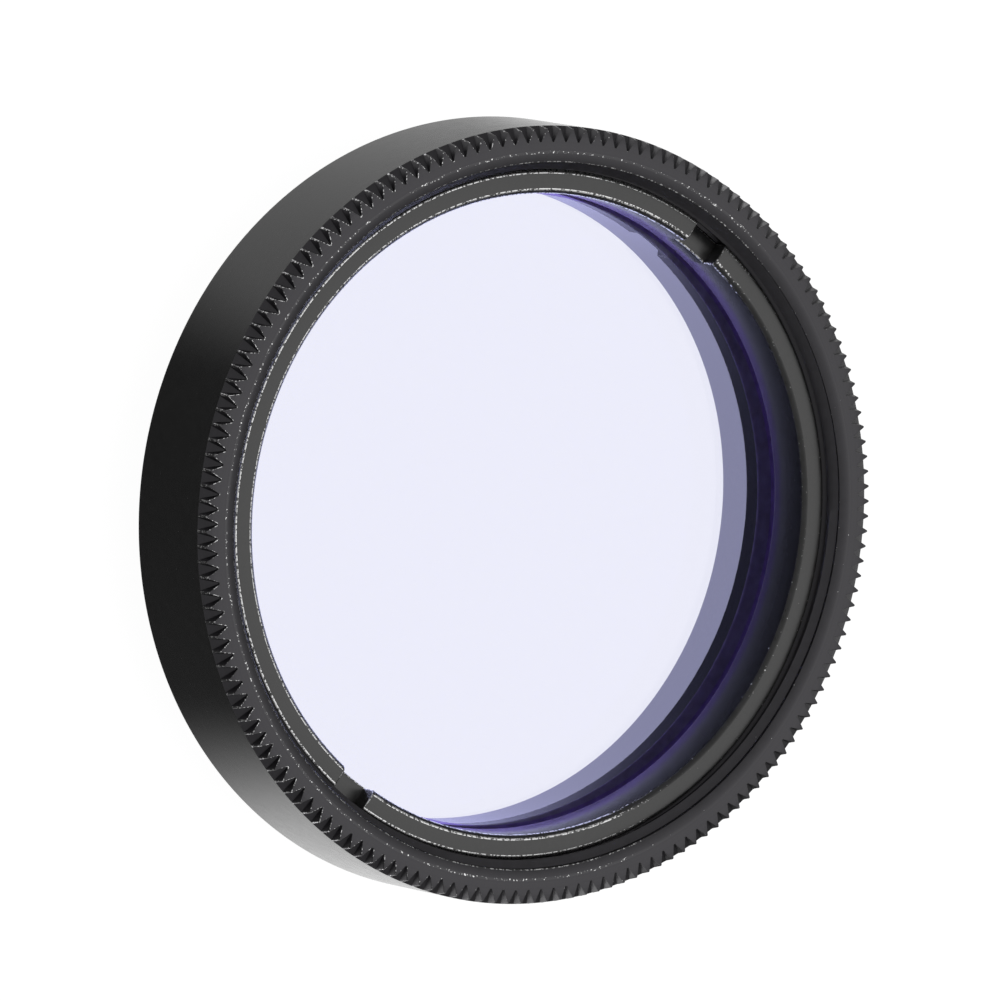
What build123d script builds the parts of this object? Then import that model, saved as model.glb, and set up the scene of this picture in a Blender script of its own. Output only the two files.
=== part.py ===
from build123d import *
import math
import os

# A screw-in glass filter for 1.25 inch eyepieces, in millimetres.
# Z = 0 is the end face of its male thread, on which it stands. +Z is the axis of the filter and
# points out of the knurled front. The slots of the retaining ring lie on the X axis.

# The thread that the filter screws in by. The solids have its crest as a plain cylinder, and the
# female thread in the front, of the same size, has its crest as a plain bore.
thread_diameter = 28.5
thread_pitch = 0.6
thread_length = 2.5
thread_lead_in = 0.4
relief_width = 0.4
relief_clearance = 0.05

# Depth of a 60 degree thread as a share of its pitch, outside and inside
outside_thread_share = 0.6134
inside_thread_share = 0.5413

# The barrel in front of that thread
shoulder_width = 1.45
barrel_length = 5.3
barrel_chamfer = 0.15

# The knurl on the barrel's front edge: V grooves that run out in the barrel
knurl_count = 160
knurl_length = 0.45
knurl_taper = 0.1
groove_depth = 0.52
groove_land = 0.06
groove_straight = 0.1
groove_run_out = 0.06

# The mouth of the front thread
mouth_width = 0.42
mouth_drop = 0.12

# The seat under the glass, and the clear bore inside it
seat_height = 2.8
seat_width = 1.0
bore_chamfer = 0.1

# The glass disc
glass_thickness = 2.0
glass_bevel = 0.15
glass_clearance = 0.225

# The retaining ring: how far it lies below the front face, and its section
ring_recess = 0.73
ring_width = 0.97
ring_inner_chamfer = 0.17
ring_outer_chamfer = 0.1
ring_clearance = 0.02
slot_width = 1.65
slot_depth = 0.8

# Radii and heights that follow from those sizes
crest_radius = thread_diameter / 2
root_radius = crest_radius - outside_thread_share * thread_pitch
front_bore_radius = crest_radius - inside_thread_share * thread_pitch
clear_radius = front_bore_radius - seat_width
barrel_radius = crest_radius + shoulder_width
knurl_radius = barrel_radius - knurl_taper
front_height = thread_length + barrel_length
glass_top = seat_height + glass_thickness
ring_top = front_height - ring_recess


def turned(points):
    """A turned solid from half its section, given as (radius, height) points."""
    section = make_face(Polyline(*[Vector(radius, 0, height) for radius, height in points], close=True))
    return revolve(section, Axis.Z, 360)


def cell_blank():
    """The cell as it leaves the lathe, before its edge is knurled."""
    relief_radius = root_radius - relief_clearance
    relief_slope = crest_radius - relief_radius
    mouth_bottom = front_height - mouth_drop
    return turned([
        (clear_radius + bore_chamfer, 0),
        (crest_radius - thread_lead_in, 0),
        (crest_radius, thread_lead_in),
        (crest_radius, thread_length - relief_width - relief_slope),
        (relief_radius, thread_length - relief_width),
        (relief_radius, thread_length),
        (barrel_radius - barrel_chamfer, thread_length),
        (barrel_radius, thread_length + barrel_chamfer),
        (barrel_radius, front_height - knurl_length),
        (knurl_radius, front_height),
        (crest_radius + mouth_width, front_height),
        (crest_radius, mouth_bottom),
        (front_bore_radius, mouth_bottom - (crest_radius - front_bore_radius)),
        (front_bore_radius, seat_height),
        (clear_radius, seat_height),
        (clear_radius, bore_chamfer),
    ])


def knurl_groove():
    """One V groove along +X, as deep all along the tapered edge, then rising to the barrel's surface."""
    root = knurl_radius - groove_depth
    half_width = math.pi * knurl_radius / knurl_count - groove_land / 2
    past = knurl_taper + groove_depth
    straight_bottom = front_height - groove_straight
    run_out_bottom = front_height - knurl_length - groove_run_out
    slope = (straight_bottom - run_out_bottom) / (barrel_radius - root)
    vee = make_face(Polyline(
        Vector(root, 0, front_height),
        Vector(root + past, half_width * past / groove_depth, front_height),
        Vector(root + past, -half_width * past / groove_depth, front_height),
        close=True,
    ))
    along = Vector(knurl_taper, 0, -knurl_length)
    side = make_face(Polyline(
        Vector(root - past, 0, front_height + knurl_length),
        Vector(root - past, 0, straight_bottom + slope * past),
        Vector(root + 2 * past, 0, straight_bottom - slope * 2 * past),
        Vector(root + 2 * past, 0, front_height + knurl_length),
        close=True,
    ))
    bar = extrude(vee, 2 * along.length, dir=along) + extrude(vee, along.length, dir=-along)
    return bar & extrude(side, 2 * half_width, both=True)


def filter_cell():
    """The turned and knurled cell, one piece."""
    groove = knurl_groove()
    return cell_blank() - PolarLocations(0, knurl_count) * groove


def filter_glass():
    """The coated disc, bevelled at both rims, lying on the seat."""
    radius = front_bore_radius - glass_clearance
    return turned([
        (0, seat_height),
        (radius - glass_bevel, seat_height),
        (radius, seat_height + glass_bevel),
        (radius, glass_top - glass_bevel),
        (radius - glass_bevel, glass_top),
        (0, glass_top),
    ])


def retaining_ring():
    """The screwed ring on the glass, with a spanner slot at each side."""
    outer = front_bore_radius - ring_clearance
    inner = outer - ring_width
    ring = turned([
        (inner, glass_top),
        (outer - ring_outer_chamfer, glass_top),
        (outer, glass_top + ring_outer_chamfer),
        (outer, ring_top - ring_outer_chamfer),
        (outer - ring_outer_chamfer, ring_top),
        (inner + ring_inner_chamfer, ring_top),
        (inner, ring_top - ring_inner_chamfer),
    ])
    slots = Pos(0, 0, ring_top) * Box(3 * outer, slot_width, 2 * slot_depth)
    return ring - slots


os.makedirs("parts", exist_ok=True)
for piece in (filter_cell, filter_glass, retaining_ring):
    export_step(piece(), f"parts/{piece.__name__}.step")
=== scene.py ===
import math

import bmesh
import bpy
from mathutils import Matrix, Vector


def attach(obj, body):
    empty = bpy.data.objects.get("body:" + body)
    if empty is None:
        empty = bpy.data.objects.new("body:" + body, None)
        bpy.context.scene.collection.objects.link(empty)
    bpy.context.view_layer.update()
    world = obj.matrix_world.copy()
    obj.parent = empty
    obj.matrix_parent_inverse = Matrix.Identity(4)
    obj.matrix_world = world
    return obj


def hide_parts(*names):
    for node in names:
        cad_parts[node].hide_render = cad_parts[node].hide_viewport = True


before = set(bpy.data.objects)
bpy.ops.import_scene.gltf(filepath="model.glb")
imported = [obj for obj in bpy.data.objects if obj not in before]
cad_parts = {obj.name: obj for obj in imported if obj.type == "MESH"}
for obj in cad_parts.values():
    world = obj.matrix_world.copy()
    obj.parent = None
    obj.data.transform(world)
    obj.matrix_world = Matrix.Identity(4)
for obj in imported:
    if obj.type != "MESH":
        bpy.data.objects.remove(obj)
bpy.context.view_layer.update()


# The camera looks down on the lying filter from 32 degrees off its axis, through a long lens from
# 0.78 m, and is rolled so that the barrel runs off to the left.
camera_azimuth, camera_elevation = math.radians(-64.0), math.radians(58.0)
camera_roll = math.radians(10.39)
camera_distance = 0.78
view_width = 0.0405
origin_in_view = Vector((-0.00244, 0.0001))
away_from_camera = (-0.438, 0.899, 0)  # level, towards the filter's far side

toward_camera = Vector((
    math.cos(camera_elevation) * math.cos(camera_azimuth),
    math.cos(camera_elevation) * math.sin(camera_azimuth),
    math.sin(camera_elevation),
))
uphill = (Vector((0, 0, 1)) - toward_camera * toward_camera.z).normalized()
across = toward_camera.cross(uphill)
view_right = math.cos(camera_roll) * uphill + math.sin(camera_roll) * across
view_up = math.cos(camera_roll) * across - math.sin(camera_roll) * uphill
aim = -origin_in_view.x * view_right - origin_in_view.y * view_up

camera_data = bpy.data.cameras.new("camera")
camera_data.sensor_width = 36.0
camera_data.lens = camera_data.sensor_width * camera_distance / view_width
camera = bpy.data.objects.new("camera", camera_data)
camera.matrix_world = Matrix.Translation(aim + camera_distance * toward_camera) @ Matrix(
    (view_right, view_up, toward_camera)).transposed().to_4x4()
bpy.context.scene.collection.objects.link(camera)
bpy.context.scene.camera = camera


# The cell is one piece of aluminium, turned from bar with a male thread behind its barrel and a
# female thread in front of the glass seat. Its front edge is cut with V grooves for the fingers,
# and it is black anodised all over. Sizes are in millimetres until each mesh is finished.
crest_radius, root_radius, thread_pitch = 14.25, 13.882, 0.6
front_bore_radius, clear_radius, seat_height = 13.925, 12.925, 2.8
relief_radius, shoulder_height, front_height = 13.832, 2.5, 7.8
barrel_radius, knurl_radius, knurl_length = 15.7, 15.6, 0.45
mouth_radius, mouth_height = 14.67, 7.68
back_thread_top, front_thread_bottom, lead_in_height = 2.1, 4.9, 0.4
barrel_chamfer, bore_chamfer, relief_chamfer, end_face_radius = 0.15, 0.1, 0.04, 13.84
groove_count, groove_depth, groove_land, root_flat = 160, 0.52, 0.06, 0.06
straight_height, run_out_height, run_out_spread = 7.7, 7.29, 0.85
columns, thread_columns = 4 * groove_count, 2 * groove_count
edge_round, tooth_round = 0.05, 0.027
bridged_gap = 0.01  # left between a thread and the plain wall beside it


def turned(section, steps, closed=False, rise=0.0):
    """A line of (radius, height) points turned once round Z, rising by a pitch for a thread."""
    mesh = bmesh.new()
    corners = [mesh.verts.new((radius, 0, height)) for radius, height in section]
    pairs = list(zip(corners, corners[1:])) + ([(corners[-1], corners[0])] if closed else [])
    sides = [mesh.edges.new(pair) for pair in pairs]
    bmesh.ops.spin(mesh, geom=corners + sides, cent=(0, 0, 0), axis=(0, 0, 1),
                   dvec=(0, 0, rise / steps), angle=2 * math.pi, steps=steps, use_merge=not rise)
    return mesh


def cut_thread(tooth, bottom, top, steps):
    """A thread's surface between two heights, from the (radius, height) points of one tooth."""
    first = int(bottom / thread_pitch) - 2
    last = int(top / thread_pitch) + 2
    mesh = turned([(radius, height + turn * thread_pitch) for turn in range(first, last)
                   for radius, height in tooth], steps, rise=thread_pitch)
    bmesh.ops.remove_doubles(mesh, verts=mesh.verts, dist=0.0005)
    for height, outward in ((bottom, -1), (top, 1)):
        bmesh.ops.bisect_plane(mesh, geom=mesh.verts[:] + mesh.edges[:] + mesh.faces[:], dist=1e-6,
                               plane_co=(0, 0, height), plane_no=(0, 0, outward), clear_outer=True)
    return mesh


def set_polar(vertex, radius):
    """Moves a vertex to a distance from Z without turning it."""
    scale = radius / vertex.co.xy.length
    vertex.co.x *= scale
    vertex.co.y *= scale


def joined(*meshes):
    """One mesh of several, which are used up."""
    whole = bmesh.new()
    for mesh in meshes:
        carried = bpy.data.meshes.new("carried")
        mesh.to_mesh(carried)
        mesh.free()
        whole.from_mesh(carried)
        bpy.data.meshes.remove(carried)
    return whole


def placed(mesh, name):
    """Makes a mesh an object of the scene, and uses it up."""
    piece = bpy.data.objects.new(name, bpy.data.meshes.new(name))
    mesh.to_mesh(piece.data)
    mesh.free()
    bpy.context.scene.collection.objects.link(piece)
    return piece


def finished(mesh, name, sharp_angle=35):
    """Scales a mesh to metres, makes it an object and shades it smooth between its sharp edges."""
    bmesh.ops.scale(mesh, vec=(0.001, 0.001, 0.001), verts=mesh.verts)
    piece = placed(mesh, name)
    piece.data.shade_smooth()
    piece.data.set_sharp_from_angle(angle=math.radians(sharp_angle))
    return piece


def tooth_section(inner_radius):
    """One 60 degree tooth from an inner radius to a flat crest, as (radius, height) points."""
    flank = (crest_radius - inner_radius) * math.tan(math.radians(30))
    flat = thread_pitch / 8
    return [
        (inner_radius, 0), (crest_radius, flank),
        (crest_radius, flank + flat), (inner_radius, 2 * flank + flat),
    ]


# The male thread fades in the lead-in at its end and in the slope of the relief groove.
male_thread = cut_thread(tooth_section(root_radius), 0, back_thread_top, thread_columns)
for vertex in male_thread.verts:
    lead_in = crest_radius - lead_in_height + vertex.co.z
    relief = relief_radius + back_thread_top - vertex.co.z
    set_polar(vertex, min(vertex.co.xy.length, lead_in, relief))

# The female thread is cut into the front bore and opened by the mouth's lead-in.
female_thread = cut_thread(tooth_section(front_bore_radius), front_thread_bottom, mouth_height,
                           thread_columns)
for vertex in female_thread.verts:
    lead_in = crest_radius - (mouth_height - vertex.co.z)
    run_out = front_bore_radius + vertex.co.z - front_thread_bottom
    set_polar(vertex, min(max(vertex.co.xy.length, lead_in), run_out))

# The plain walls carry extra lines of points beside their corners, so that the faces at a corner
# stay narrow.
outside = turned([
    (relief_radius, back_thread_top + bridged_gap),
    (relief_radius, shoulder_height - relief_chamfer),
    (relief_radius + relief_chamfer, shoulder_height),
    (15.5, shoulder_height), (barrel_radius - barrel_chamfer, shoulder_height),
    (barrel_radius, shoulder_height + barrel_chamfer), (barrel_radius, 2.7),
    (barrel_radius, 4.9), (barrel_radius, 7.1), (barrel_radius, 7.27),
    (barrel_radius, run_out_height), (barrel_radius, front_height - knurl_length),
    (knurl_radius + 0.022, straight_height), (knurl_radius, front_height),
    (mouth_radius, front_height), (crest_radius, mouth_height + bridged_gap),
], columns)
inside = turned([
    (front_bore_radius, front_thread_bottom - bridged_gap), (front_bore_radius, 2.85),
    (front_bore_radius, seat_height), (clear_radius + 0.05, seat_height),
    (clear_radius, seat_height), (clear_radius, 2.75), (clear_radius, 0.15),
    (clear_radius, bore_chamfer), (clear_radius + bore_chamfer, 0), (end_face_radius, 0),
], thread_columns)
cell_mesh = joined(male_thread, female_thread, outside, inside)
for height in (0, back_thread_top, front_thread_bottom, mouth_height):
    ends = [edge for edge in cell_mesh.edges if edge.is_boundary
            and all(abs(v.co.z - height) < bridged_gap + 0.001 for v in edge.verts)]
    bmesh.ops.bridge_loops(cell_mesh, edges=ends)

# Each groove takes four columns of the mesh: two at its lands and two at its root. The root rises
# to the barrel's surface in the run-out, and spreads there to nearly the width of the mouth.
groove_angle = 2 * math.pi / groove_count
half_groove = groove_angle / 2 - groove_land / 2 / knurl_radius
half_root = root_flat / 2 / knurl_radius


def turn_to(vertex, radius, angle):
    """Moves a vertex to a distance and an angle round Z, at its own height."""
    vertex.co.x, vertex.co.y = radius * math.cos(angle), radius * math.sin(angle)


for vertex in cell_mesh.verts:
    radius, height = vertex.co.xy.length, vertex.co.z
    if radius < knurl_radius - 0.01 or height < run_out_height - 0.001:
        continue
    angle = math.atan2(vertex.co.y, vertex.co.x) + groove_angle / 8
    groove = math.floor(angle / groove_angle + 0.5)
    offset = angle - groove * groove_angle
    side = 1 if offset > 0 else -1
    if abs(offset) > groove_angle / 4:
        turn_to(vertex, radius, groove * groove_angle + side * half_groove)
    else:
        floor = min(1, max(0, (height - run_out_height) / (straight_height - run_out_height)))
        spread = half_root + (run_out_spread * half_groove - half_root) * (1 - floor)
        turn_to(vertex, radius - groove_depth * floor, groove * groove_angle + side * spread)
bmesh.ops.recalc_face_normals(cell_mesh, faces=cell_mesh.faces)


def soften(mesh, edges, width, wear_and_glint_level, reach=0.3):
    """Rounds edges, and marks the new faces with wear and painted glints, least on the far side.
    """
    wear_and_glint = mesh.faces.layers.float.get("wear_and_glint") or mesh.faces.layers.float.new("wear_and_glint")
    made = bmesh.ops.bevel(mesh, geom=edges, offset=width, offset_type="OFFSET", affect="EDGES",
                           segments=2, profile=0.5, material=-1, clamp_overlap=False)
    for face in made["faces"]:
        place = face.calc_center_median()
        away = away_from_camera[0] * place.x + away_from_camera[1] * place.y
        # The bright worn edges stand partly for painted glints, so their wear fades on the far
        # side.
        toward_far_side = away / place.xy.length
        face[wear_and_glint] = wear_and_glint_level * min(1.0, max(0.3, (0.75 - toward_far_side) / reach))


def ends_within(edge, low, high, inner, outer):
    """Whether both ends of an edge lie between two heights and between two radii."""
    return all(low < v.co.z < high and inner < v.co.xy.length < outer for v in edge.verts)


tooth_edges = [
    edge for edge in cell_mesh.edges
    if ends_within(edge, run_out_height - 0.001, 8, 15.0, 16)
    and max(v.co.z for v in edge.verts) > run_out_height + 0.01
    and edge.calc_face_angle_signed() > math.radians(20)
]
# Each rim to be rounded, between two heights and two radii, and its wear and painted glint: the
# barrel's back, the bore's back, the seat, and the outer and inner edge of the mouth
rims = (
    (2.4, 2.66, 15, 16, 0.5), (-1, 0.2, 12, 13.1, 0.6), (2.7, 2.9, 12, 13, 0.0),
    (7.79, 8, 14.6, 14.8, 0.5), (7.67, 7.7, 14, 14.4, 0.75),
)
rim_edges = [[
    edge for edge in cell_mesh.edges
    if ends_within(edge, *rim[:4]) and edge.calc_face_angle_signed() > math.radians(12)
] for rim in rims]
soften(cell_mesh, tooth_edges, tooth_round, wear_and_glint_level=0.72, reach=1.4)
for (*_, rim_wear_and_glint), edges in zip(rims, rim_edges):
    soften(cell_mesh, [edge for edge in edges if edge.is_valid], edge_round, rim_wear_and_glint)

cell = finished(cell_mesh, "filter_cell_turned")
cell.modifiers.new("flat_faces", "WEIGHTED_NORMAL").keep_sharp = True

# Worn edges fade to a lighter, thinner dye and to bare metal, and stand partly for painted glints.
thin_dye_and_glint, bare_metal = (0.05, 0.05, 0.05, 1), (0.9, 0.9, 0.9, 1)
rubbed_roughness = 0.3
tool_mark_height = 0.000004


def anodised(name, colour, roughness, specular, mottling):
    """Dyed anodising on turned aluminium: lathe lines, uneven dye, bare specks and painted glints
    on worn edges.
    """
    material = bpy.data.materials.new(name)
    material.use_nodes = True
    nodes, links = material.node_tree.nodes, material.node_tree.links
    shader = nodes["Principled BSDF"]
    shader.inputs["Specular IOR Level"].default_value = specular
    tint = [0.6 + 0.4 * c / max(colour) for c in colour]
    shader.inputs["Specular Tint"].default_value = (*tint, 1)

    place = nodes.new("ShaderNodeTexCoord")
    flat = nodes.new("ShaderNodeVectorMath")
    flat.operation = "MULTIPLY"
    flat.inputs[1].default_value = (1, 1, 0)
    radius = nodes.new("ShaderNodeVectorMath")
    radius.operation = "LENGTH"
    axes = nodes.new("ShaderNodeSeparateXYZ")
    turned_place = nodes.new("ShaderNodeCombineXYZ")
    links.new(place.outputs["Object"], flat.inputs[0])
    links.new(flat.outputs[0], radius.inputs[0])
    links.new(place.outputs["Object"], axes.inputs[0])
    links.new(radius.outputs["Value"], turned_place.inputs["X"])
    links.new(axes.outputs["Z"], turned_place.inputs["Y"])

    def noise(source, scale, detail, low, high):
        """A noise texture stretched so that it runs from 0 at low to 1 at high."""
        texture = nodes.new("ShaderNodeTexNoise")
        texture.inputs["Scale"].default_value = scale
        texture.inputs["Detail"].default_value = detail
        stretch = nodes.new("ShaderNodeMapRange")
        stretch.inputs["From Min"].default_value = low
        stretch.inputs["From Max"].default_value = high
        links.new(source, texture.inputs["Vector"])
        links.new(texture.outputs["Fac"], stretch.inputs["Value"])
        return stretch.outputs[0]

    lathe_lines = noise(turned_place.outputs[0], scale=14000, detail=2, low=0.3, high=0.7)
    uneven_dye = noise(place.outputs["Object"], scale=2500, detail=5, low=0.3, high=0.7)
    grain = noise(place.outputs["Object"], scale=11000, detail=1, low=0, high=1)

    dye = nodes.new("ShaderNodeMix")
    dye.data_type = "RGBA"
    dye.inputs["A"].default_value = (*[c * (1 - mottling) for c in colour], 1)
    dye.inputs["B"].default_value = (*[c * (1 + mottling) for c in colour], 1)
    links.new(uneven_dye, dye.inputs["Factor"])

    # Wear thins the dye, and bares the metal where the grain is high. The lighter edges this makes
    # are partly painted glints.
    wear_and_glint = nodes.new("ShaderNodeAttribute")
    wear_and_glint.attribute_name = "wear_and_glint"
    thinned_and_glint = nodes.new("ShaderNodeMix")
    thinned_and_glint.data_type = "RGBA"
    thinned_and_glint.inputs["B"].default_value = thin_dye_and_glint
    links.new(wear_and_glint.outputs["Fac"], thinned_and_glint.inputs["Factor"])
    links.new(dye.outputs["Result"], thinned_and_glint.inputs["A"])
    rub = nodes.new("ShaderNodeMath")
    rub.operation = "MULTIPLY_ADD"
    rub.inputs[1].default_value = 0.4
    links.new(wear_and_glint.outputs["Fac"], rub.inputs[0])
    links.new(grain, rub.inputs[2])
    bare = nodes.new("ShaderNodeMapRange")
    bare.inputs["From Min"].default_value = 0.82
    bare.inputs["From Max"].default_value = 0.9
    links.new(rub.outputs[0], bare.inputs["Value"])
    metal = nodes.new("ShaderNodeMix")
    metal.data_type = "RGBA"
    metal.inputs["B"].default_value = bare_metal
    links.new(bare.outputs[0], metal.inputs["Factor"])
    links.new(thinned_and_glint.outputs["Result"], metal.inputs["A"])
    links.new(metal.outputs["Result"], shader.inputs["Base Color"])
    links.new(bare.outputs[0], shader.inputs["Metallic"])

    relief = nodes.new("ShaderNodeMath")
    relief.operation = "ADD"
    links.new(lathe_lines, relief.inputs[0])
    links.new(uneven_dye, relief.inputs[1])
    sheen = nodes.new("ShaderNodeMapRange")
    sheen.inputs["From Max"].default_value = 2.0
    sheen.inputs["To Min"].default_value = roughness - 0.2 * mottling
    sheen.inputs["To Max"].default_value = roughness + 0.2 * mottling
    links.new(relief.outputs[0], sheen.inputs["Value"])
    rubbed = nodes.new("ShaderNodeMix")
    rubbed.inputs["B"].default_value = rubbed_roughness
    links.new(wear_and_glint.outputs["Fac"], rubbed.inputs["Factor"])
    links.new(sheen.outputs[0], rubbed.inputs["A"])
    links.new(rubbed.outputs["Result"], shader.inputs["Roughness"])
    bump = nodes.new("ShaderNodeBump")
    bump.inputs["Strength"].default_value = 0.35
    bump.inputs["Distance"].default_value = tool_mark_height
    links.new(relief.outputs[0], bump.inputs["Height"])
    links.new(bump.outputs[0], shader.inputs["Normal"])
    return material


satin_black = anodised("satin_black", (0.0135, 0.0127, 0.0148), 0.35, 0.75, 0.35)
barrel_black = anodised("barrel_black", (0.011, 0.011, 0.011), 0.24, 0.5, 0.2)
bore_black = anodised("bore_black", (0.005, 0.005, 0.006), 0.22, 0.04, 0.2)
# The seat's pale purple is a painted glow: it stands in for light that the glass carries onto the
# seat.
seat_painted_glow = anodised("seat_painted_glow", (0.22, 0.18, 0.36), 0.5, 0.3, 0.2)
for surface in (satin_black, barrel_black, bore_black, seat_painted_glow):
    cell.data.materials.append(surface)
bore_edge = clear_radius + 0.005
for face in cell.data.polygons:
    radius, height = 1000 * face.center.xy.length, 1000 * face.center.z
    on_barrel = radius > knurl_radius and height < run_out_height
    in_bore = radius < bore_edge
    on_seat = bore_edge < radius < 13.9 and 2.75 < height < 3
    face.material_index = 1 if on_barrel else 2 if in_bore else 3 if on_seat else 0
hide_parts("filter_cell")
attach(cell, "root")


# The filter glass is a polished disc with ground rims. Its front has a purple mirror coating and
# its body a pale lavender tint. It lies on the seat, under the ring; its bottom is a hair above
# the seat, so that the two faces don't coincide.
glass_radius, glass_bottom, glass_top, glass_bevel = 13.7, 2.805, 4.8, 0.15
coating_radius = 12.79
body_tint = (0.765, 0.77, 0.875)
# The first tint is the coating's own; the second is a painted glow for the top's band outside the
# coating.
coating_tint, coating_edge_glow_tint = (0.92, 0.71, 1.0), (0.4, 0.25, 0.85)
glass_section = [
    (0, glass_bottom), (glass_radius - glass_bevel, glass_bottom),
    (glass_radius, glass_bottom + glass_bevel), (glass_radius, glass_top - glass_bevel),
    (glass_radius - glass_bevel, glass_top), (coating_radius, glass_top), (0, glass_top),
]
glass_mesh = turned(glass_section, 256)
bmesh.ops.remove_doubles(glass_mesh, verts=glass_mesh.verts, dist=0.001)
bmesh.ops.recalc_face_normals(glass_mesh, faces=glass_mesh.faces)
for face in glass_mesh.faces:
    if face.normal.z > 0.9:
        face.material_index = 2 if face.calc_center_median().xy.length > coating_radius else 1
glass = finished(glass_mesh, "filter_glass_disc")


def clear_glass(name, tint):
    """Adds a clear glass to the disc's materials, and gives its shader for a coating."""
    material = bpy.data.materials.new(name)
    material.use_nodes = True
    shader = material.node_tree.nodes["Principled BSDF"]
    shader.inputs["Base Color"].default_value = (*tint, 1)
    shader.inputs["Roughness"].default_value = 0.0
    shader.inputs["IOR"].default_value = 1.52
    shader.inputs["Transmission Weight"].default_value = 1.0
    glass.data.materials.append(material)
    return shader


clear_glass("bare_glass", body_tint)
coated = clear_glass("coated_glass", body_tint)
coated.inputs["Specular Tint"].default_value = (*coating_tint, 1)
coated.inputs["Thin Film Thickness"].default_value = 32
coated.inputs["Thin Film IOR"].default_value = 2.4
# The top's band outside the coating is a painted glow: its diffuse purple stands in for light
# caught in the glass's edge.
coating_edge_glow = clear_glass("coating_edge_glow", coating_edge_glow_tint)
coating_edge_glow.inputs["Transmission Weight"].default_value = 0.94
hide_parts("filter_glass")
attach(glass, "root")


# The retaining ring screws down on the glass. It is turned, then sawn across for the two slots
# that its spanner turns it by, and black anodised.
ring_outer, ring_inner, ring_top = 13.905, 12.935, 7.07
slot_width, slot_depth = 1.65, 0.8
outer_chamfer, inner_chamfer = 0.1, 0.17
ring_section = [
    (ring_inner, glass_top), (ring_outer - outer_chamfer, glass_top),
    (ring_outer, glass_top + outer_chamfer), (ring_outer, ring_top - outer_chamfer),
    (ring_outer - outer_chamfer, ring_top), (ring_inner + inner_chamfer, ring_top),
    (ring_inner, ring_top - inner_chamfer),
]
ring_mesh = turned(ring_section, 512, closed=True)
bmesh.ops.recalc_face_normals(ring_mesh, faces=ring_mesh.faces)
bmesh.ops.scale(ring_mesh, vec=(0.001, 0.001, 0.001), verts=ring_mesh.verts)
blank = placed(ring_mesh, "ring_blank")

# One saw cuts both slots. Its height reaches as far over the ring as the slots go down.
saw_mesh = bmesh.new()
bmesh.ops.create_cube(saw_mesh, size=0.001)
bmesh.ops.scale(saw_mesh, vec=(40, slot_width, 2 * slot_depth), verts=saw_mesh.verts)
bmesh.ops.translate(saw_mesh, vec=(0, 0, ring_top * 0.001), verts=saw_mesh.verts)
saw = placed(saw_mesh, "saw")
sawn = blank.modifiers.new("slots", "BOOLEAN")
sawn.object = saw
sawn.solver = "EXACT"
bpy.context.view_layer.update()
depsgraph = bpy.context.evaluated_depsgraph_get()
slotted = bpy.data.meshes.new_from_object(blank.evaluated_get(depsgraph))
ring_mesh = bmesh.new()
ring_mesh.from_mesh(slotted)
for leftover in (blank, saw):
    bpy.data.objects.remove(leftover)
bmesh.ops.scale(ring_mesh, vec=(1000, 1000, 1000), verts=ring_mesh.verts)
bmesh.ops.remove_doubles(ring_mesh, verts=ring_mesh.verts, dist=0.001)
sharp_edges = [edge for edge in ring_mesh.edges
               if edge.is_manifold and edge.calc_face_angle_signed() > math.radians(25)]
soften(ring_mesh, sharp_edges, edge_round, wear_and_glint_level=1.0)
ring = finished(ring_mesh, "retaining_ring_slotted", sharp_angle=50)
ring_black = anodised("ring_black", (0.019, 0.0189, 0.0187), 0.35, 0.85, 0.45)
ring.data.materials.append(ring_black)
ring.data.materials.append(bore_black)
for face in ring.data.polygons:
    face.material_index = 1 if 1000 * face.center.xy.length < ring_inner + 0.005 else 0
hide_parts("retaining_ring")
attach(ring, "root")


# The floor is a wide sheet of plain white paper under the filter. It looks an even white to the
# camera and through the glass, and keeps the filter's shadow.
floor_mesh = bmesh.new()
bmesh.ops.create_circle(floor_mesh, cap_ends=True, segments=96, radius=6.0)
floor = placed(floor_mesh, "floor")
paper = bpy.data.materials.new("paper")
paper.use_nodes = True
nodes, links = paper.node_tree.nodes, paper.node_tree.links
shader = nodes["Principled BSDF"]
shader.inputs["Base Color"].default_value = (0.9, 0.9, 0.9, 1)
shader.inputs["Roughness"].default_value = 0.9
shader.inputs["Specular IOR Level"].default_value = 0.0

# The camera sees the paper with 0.8 of a white glow over it. Through the glass the glow shows
# alone, and bluer once the coating has mirrored it.
rays = nodes.new("ShaderNodeLightPath")
glow_level = nodes.new("ShaderNodeMath")
glow_level.operation = "MULTIPLY_ADD"
glow_level.inputs[1].default_value = 0.2
glow_level.inputs[2].default_value = 1.0
links.new(rays.outputs["Is Camera Ray"], glow_level.inputs[0])
glow_colour = nodes.new("ShaderNodeMix")
glow_colour.data_type = "RGBA"
glow_colour.inputs["A"].default_value = (1, 1, 1, 1)
glow_colour.inputs["B"].default_value = (1.4, 1.45, 2.2, 1)
links.new(rays.outputs["Glossy Depth"], glow_colour.inputs["Factor"])
glow = nodes.new("ShaderNodeEmission")
links.new(glow_colour.outputs["Result"], glow.inputs["Color"])
links.new(glow_level.outputs[0], glow.inputs["Strength"])
seen = nodes.new("ShaderNodeMath")
seen.operation = "MULTIPLY_ADD"
seen.inputs[1].default_value = 0.8
links.new(rays.outputs["Is Camera Ray"], seen.inputs[0])
links.new(rays.outputs["Is Transmission Ray"], seen.inputs[2])
mix = nodes.new("ShaderNodeMixShader")
links.new(seen.outputs[0], mix.inputs[0])
links.new(shader.outputs[0], mix.inputs[1])
links.new(glow.outputs[0], mix.inputs[2])

# The metal mirrors paper that is in the camera's shade, lit beside it, and tinted by the glass
# right under the filter.
place = nodes.new("ShaderNodeTexCoord")
shade_level = 0.1
tinted_radius = 0.0134


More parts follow.
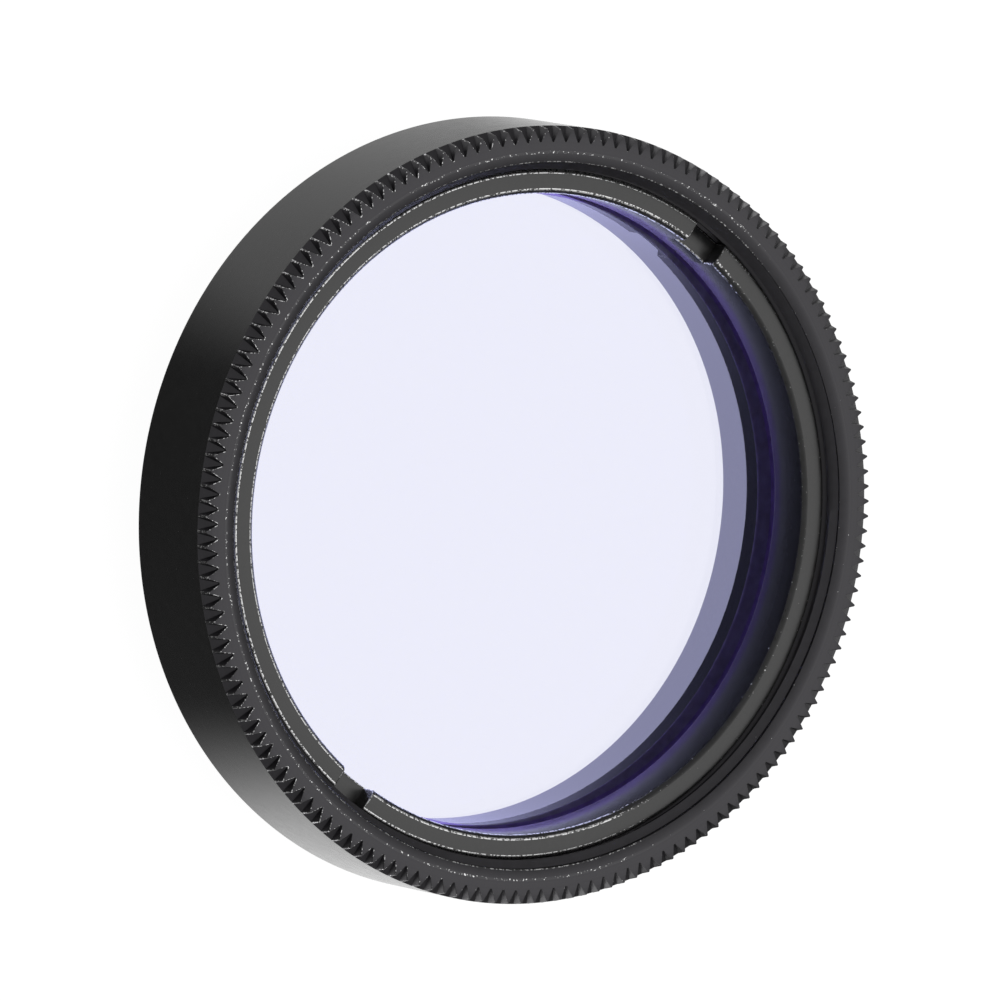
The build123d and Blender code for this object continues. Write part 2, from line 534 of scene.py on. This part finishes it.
def combine(operation, first, second):
    """A Math node of the paper's, of one socket with another or with a number."""
    node = nodes.new("ShaderNodeMath")
    node.operation = operation
    links.new(first, node.inputs[0])
    if isinstance(second, float):
        node.inputs[1].default_value = second
    else:
        links.new(second, node.inputs[1])
    return node


def lit_side(direction, start, end, strength):
    """Light that grows over the paper along a direction, from start to end in metres."""
    along = nodes.new("ShaderNodeVectorMath")
    along.operation = "DOT_PRODUCT"
    along.inputs[1].default_value = direction
    ramp = nodes.new("ShaderNodeMapRange")
    ramp.interpolation_type = "SMOOTHSTEP"
    ramp.inputs["From Min"].default_value = start
    ramp.inputs["From Max"].default_value = end
    ramp.inputs["To Max"].default_value = strength
    links.new(place.outputs["Object"], along.inputs[0])
    links.new(along.outputs["Value"], ramp.inputs["Value"])
    return ramp.outputs[0]


upper_side = lit_side((-0.985, -0.146, 0), start=-0.0015, end=0.0055, strength=0.55)
lower_side = lit_side((-0.106, 0.994, 0), start=-0.0085, end=0.0015, strength=1.28)
far_side = lit_side(away_from_camera, start=0.006, end=0.014, strength=-1.4)
beside = combine("ADD", upper_side, lower_side)
lit = combine("MAXIMUM", combine("ADD", beside.outputs[0], far_side).outputs[0], 0.0)
mirrored_level = combine("ADD", lit.outputs[0], shade_level)
distance = nodes.new("ShaderNodeVectorMath")
distance.operation = "LENGTH"
links.new(place.outputs["Object"], distance.inputs[0])
under_filter = combine("LESS_THAN", distance.outputs["Value"], tinted_radius)
mirrored_colour = nodes.new("ShaderNodeMix")
mirrored_colour.data_type = "RGBA"
mirrored_colour.inputs["B"].default_value = (1.2, 1.2, 2.2, 1)
links.new(under_filter.outputs[0], mirrored_colour.inputs["Factor"])
links.new(mirrored_level.outputs[0], mirrored_colour.inputs["A"])
mirrored = nodes.new("ShaderNodeEmission")
links.new(mirrored_colour.outputs["Result"], mirrored.inputs["Color"])
only_mirrored = combine("SUBTRACT", rays.outputs["Is Glossy Ray"],
                        rays.outputs["Is Transmission Ray"])
only_mirrored.use_clamp = True
either = nodes.new("ShaderNodeMixShader")
links.new(only_mirrored.outputs[0], either.inputs[0])
links.new(mix.outputs[0], either.inputs[1])
links.new(mirrored.outputs[0], either.inputs[2])
links.new(either.outputs[0], nodes["Material Output"].inputs["Surface"])
floor.data.materials.append(paper)


# Soft surroundings light the filter, brighter overhead and brightest in a soft box high on the
# far side. There are no lamps, and the camera sees plain white.
world = bpy.data.worlds.new("surroundings")
bpy.context.scene.world = world
world.use_nodes = True
nodes, links = world.node_tree.nodes, world.node_tree.links
white = nodes["Background"]
white.inputs["Color"].default_value = (1, 1, 1, 1)
room = nodes.new("ShaderNodeBackground")
room.inputs["Strength"].default_value = 1.0
place = nodes.new("ShaderNodeTexCoord")
toward_box = nodes.new("ShaderNodeVectorMath")
toward_box.operation = "DOT_PRODUCT"
toward_box.inputs[1].default_value = (-0.22, 0.45, 0.866)
soft_box = nodes.new("ShaderNodeMapRange")
soft_box.interpolation_type = "SMOOTHSTEP"
soft_box.inputs["From Min"].default_value = 0.75
soft_box.inputs["From Max"].default_value = 0.98
soft_box.inputs["To Min"].default_value = 0.0
soft_box.inputs["To Max"].default_value = 0.7
rays = nodes.new("ShaderNodeLightPath")
mix = nodes.new("ShaderNodeMixShader")
links.new(place.outputs["Generated"], toward_box.inputs[0])
links.new(toward_box.outputs["Value"], soft_box.inputs["Value"])
height = nodes.new("ShaderNodeSeparateXYZ")
links.new(place.outputs["Generated"], height.inputs[0])
overhead = nodes.new("ShaderNodeMapRange")
overhead.inputs["From Max"].default_value = 0.7
overhead.inputs["To Min"].default_value = 0.1
overhead.inputs["To Max"].default_value = 0.45
links.new(height.outputs["Z"], overhead.inputs["Value"])
both = nodes.new("ShaderNodeMath")
both.operation = "ADD"
links.new(soft_box.outputs[0], both.inputs[0])
links.new(overhead.outputs[0], both.inputs[1])
links.new(both.outputs[0], room.inputs["Color"])
links.new(rays.outputs["Is Camera Ray"], mix.inputs[0])
links.new(room.outputs[0], mix.inputs[1])
links.new(white.outputs[0], mix.inputs[2])
links.new(mix.outputs[0], nodes["World Output"].inputs["Surface"])

bpy.context.scene.view_settings.view_transform = "Standard"
